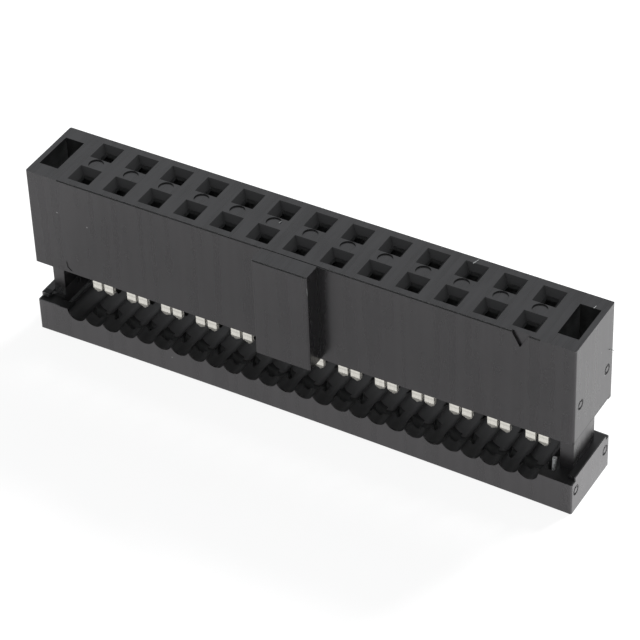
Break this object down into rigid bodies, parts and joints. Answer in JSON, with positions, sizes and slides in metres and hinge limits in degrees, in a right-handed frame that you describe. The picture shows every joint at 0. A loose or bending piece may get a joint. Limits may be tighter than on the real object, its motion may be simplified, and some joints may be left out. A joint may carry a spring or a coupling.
{
  "type": "idc socket",
  "caption": "Two-row ribbon cable socket, standing open: a keyed body with square post holes, forked contacts, and a grooved cover that closes on its latch legs.",
  "frame": {"origin": "middle of the cover's underside, below the middle of the contact rows, with the cover open", "axes": "+X along the contact rows towards the end with the triangle mark, -Y towards the polarising key, +Z from the cover to the mating face"},
  "size_m": [0.0376, 0.0063, 0.0126],
  "materials": {
    "body_plastic": "satin",
    "cover_plastic": "satin",
    "contact_metal": "bright tin plate on copper alloy"
  },
  "bodies": {
    "cover": {"cover": "cover_plastic"},
    "socket": {"body": "body_plastic", "contact_front_01": "contact_metal", "contact_front_02": "contact_metal", "contact_front_03": "contact_metal", "contact_front_04": "contact_metal", "contact_front_05": "contact_metal", "contact_front_06": "contact_metal", "contact_front_07": "contact_metal", "contact_front_08": "contact_metal", "contact_front_09": "contact_metal", "contact_front_10": "contact_metal", "contact_front_11": "contact_metal", "contact_front_12": "contact_metal", "contact_front_13": "contact_metal", "contact_back_01": "contact_metal", "contact_back_02": "contact_metal", "contact_back_03": "contact_metal", "contact_back_04": "contact_metal", "contact_back_05": "contact_metal", "contact_back_06": "contact_metal", "contact_back_07": "contact_metal", "contact_back_08": "contact_metal", "contact_back_09": "contact_metal", "contact_back_10": "contact_metal", "contact_back_11": "contact_metal", "contact_back_12": "contact_metal", "contact_back_13": "contact_metal"}
  },
  "joints": [
    {"name": "closing_slide", "type": "slide", "parent": "cover", "child": "socket", "axis": [0, 0, -1], "range_m": [0, 0.00295]}
  ]
}
